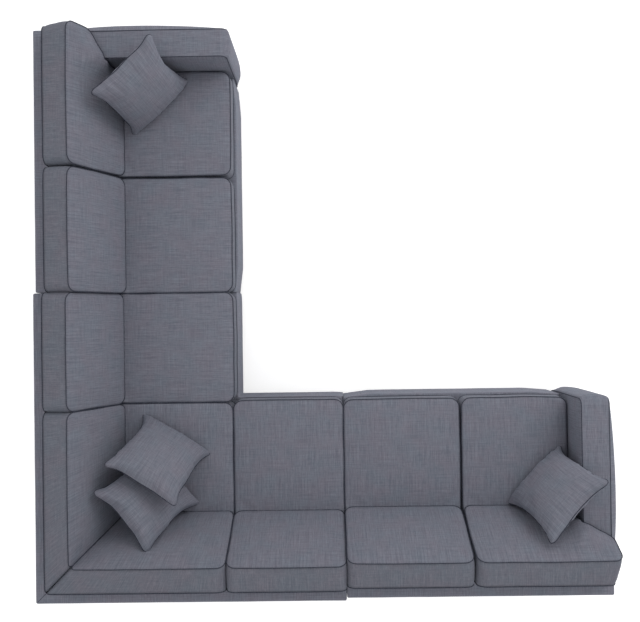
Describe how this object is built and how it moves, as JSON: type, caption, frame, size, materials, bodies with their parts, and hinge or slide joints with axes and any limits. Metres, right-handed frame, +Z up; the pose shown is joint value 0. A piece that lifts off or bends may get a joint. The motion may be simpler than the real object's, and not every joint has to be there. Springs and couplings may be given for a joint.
{
  "type": "sectional sofa",
  "caption": "L-shaped modular sofa with boxed seat and back cushions, padded arms, loose scatter cushions, hidden frames, legs and swing hooks that join its sections.",
  "frame": {"origin": "On the floor, under the middle of the sofa's bounding box.", "axes": "+Z up. The back run lies along +Y with its outer back facing +Y, the side run lies along +X with its outer back facing +X, and both runs' seats face the open inner corner at -X, -Y."},
  "size_m": [2.944, 2.944, 0.8549],
  "materials": {
    "slate_fabric": "woven, matt",
    "pine": "sawn",
    "webbing": "woven band",
    "dust_cloth": "bonded fleece",
    "black_plastic": "moulded",
    "zinc_steel": "zinc plated"
  },
  "bodies": {
    "sofa": {"corner_back_frame": "pine", "corner_base_frame": "pine", "corner_body_cover": "slate_fabric", "corner_dust_cover": "dust_cloth", "corner_front_scatter_cushion": "slate_fabric", "corner_left_back_cushion": "slate_fabric", "corner_left_mitred_cushion": "slate_fabric", "corner_left_seat_cushion": "slate_fabric", "corner_leg_1": "black_plastic", "corner_leg_2": "black_plastic", "corner_leg_3": "black_plastic", "corner_leg_4": "black_plastic", "corner_leg_5": "black_plastic", "corner_leg_6": "black_plastic", "corner_middle_seat_cushion": "slate_fabric", "corner_rear_scatter_cushion": "slate_fabric", "corner_right_back_cushion": "slate_fabric", "corner_right_mitred_cushion": "slate_fabric", "corner_right_seat_cushion": "slate_fabric", "corner_seat_webbing": "webbing", "left_arm_cover": "slate_fabric", "left_arm_frame": "pine", "left_back_frame": "pine", "left_base_frame": "pine", "left_body_cover": "slate_fabric", "left_dust_cover": "dust_cloth", "left_inner_back_cushion": "slate_fabric", "left_inner_seat_cushion": "slate_fabric", "left_leg_1": "black_plastic", "left_leg_2": "black_plastic", "left_leg_3": "black_plastic", "left_leg_4": "black_plastic", "left_outer_back_cushion": "slate_fabric", "left_outer_seat_cushion": "slate_fabric", "left_scatter_cushion": "slate_fabric", "left_seam_catch_strip": "zinc_steel", "left_seam_pivot_strip": "zinc_steel", "left_seat_webbing": "webbing", "right_arm_cover": "slate_fabric", "right_arm_frame": "pine", "right_back_frame": "pine", "right_base_frame": "pine", "right_body_cover": "slate_fabric", "right_dust_cover": "dust_cloth", "right_inner_back_cushion": "slate_fabric", "right_inner_seat_cushion": "slate_fabric", "right_leg_1": "black_plastic", "right_leg_2": "black_plastic", "right_leg_3": "black_plastic", "right_leg_4": "black_plastic", "right_outer_back_cushion": "slate_fabric", "right_outer_seat_cushion": "slate_fabric", "right_scatter_cushion": "slate_fabric", "right_seam_catch_strip": "zinc_steel", "right_seam_pivot_strip": "zinc_steel", "right_seat_webbing": "webbing"},
    "left_front_hook": {"left_seam_front_hook": "zinc_steel"},
    "left_rear_hook": {"left_seam_rear_hook": "zinc_steel"},
    "right_front_hook": {"right_seam_front_hook": "zinc_steel"},
    "right_rear_hook": {"right_seam_rear_hook": "zinc_steel"}
  },
  "joints": [
    {"name": "left_rear_hook_swing", "type": "hinge", "parent": "sofa", "child": "left_rear_hook", "pos_m": [-0.063, 1.252, 0.0527], "axis": [0, 0, 1], "range_deg": [0, 95]},
    {"name": "left_front_hook_swing", "type": "hinge", "parent": "sofa", "child": "left_front_hook", "pos_m": [-0.063, 0.707, 0.0527], "axis": [0, 0, -1], "range_deg": [0, 95]},
    {"name": "right_rear_hook_swing", "type": "hinge", "parent": "sofa", "child": "right_rear_hook", "pos_m": [1.252, -0.063, 0.0527], "axis": [0, 0, -1], "range_deg": [0, 95]},
    {"name": "right_front_hook_swing", "type": "hinge", "parent": "sofa", "child": "right_front_hook", "pos_m": [0.707, -0.063, 0.0527], "axis": [0, 0, 1], "range_deg": [0, 95]}
  ]
}
